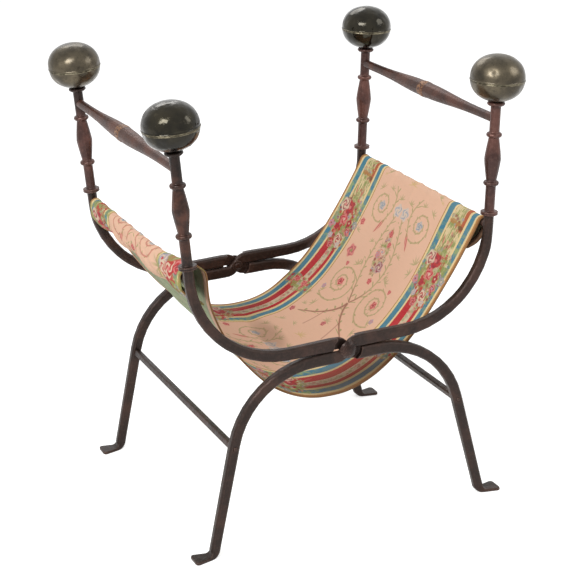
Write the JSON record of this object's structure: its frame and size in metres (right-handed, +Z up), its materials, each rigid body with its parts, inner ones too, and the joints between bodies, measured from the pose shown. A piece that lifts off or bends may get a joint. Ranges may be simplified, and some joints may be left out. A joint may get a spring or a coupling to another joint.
{
  "type": "faldstool",
  "caption": "Folding X-framed armchair of forged iron with turned posts, ball finials, arm rails and a slung brocade seat; the two side frames hinge on rivets at the half-lapped crossings.",
  "frame": {"origin": "on the floor, under the middle of the line through the two pivots", "axes": "+X across the chair to the sitter's left as seen from the front, +Y from front to back, +Z up"},
  "size_m": [0.7078, 0.6008, 0.8372],
  "materials": {
    "forged_iron": "dark brown-black patina, satin, hammered",
    "rubbed_iron": "reddish brown patina rubbed by hands, satin",
    "patinated_brass": "dark olive patina, polished, with small dents",
    "brocade": "woven brocade, peach ground with striped borders and flowers"
  },
  "bodies": {
    "left_frame": {"front_left_bar": "forged_iron", "back_left_bar": "forged_iron", "front_left_post": "forged_iron", "back_left_post": "forged_iron", "front_left_ball_lower": "patinated_brass", "front_left_ball_upper": "patinated_brass", "back_left_ball_lower": "patinated_brass", "back_left_ball_upper": "patinated_brass", "left_arm_rail": "rubbed_iron", "left_seat_rod": "forged_iron", "right_stretcher": "forged_iron", "front_pivot_rivet": "forged_iron", "back_pivot_rivet": "forged_iron", "front_pivot_washer": "forged_iron", "back_pivot_washer": "forged_iron", "seat_sling": "brocade"},
    "right_frame": {"front_right_bar": "forged_iron", "back_right_bar": "forged_iron", "front_right_post": "forged_iron", "back_right_post": "forged_iron", "front_right_ball_lower": "patinated_brass", "front_right_ball_upper": "patinated_brass", "back_right_ball_lower": "patinated_brass", "back_right_ball_upper": "patinated_brass", "right_arm_rail": "rubbed_iron", "right_seat_rod": "forged_iron", "left_stretcher": "forged_iron"}
  },
  "joints": [
    {"name": "fold", "type": "hinge", "parent": "left_frame", "child": "right_frame", "pos_m": [0, 0, 0.3475], "axis": [0, -1, 0], "range_deg": [0, 58], "deforming": ["seat_sling"]}
  ]
}
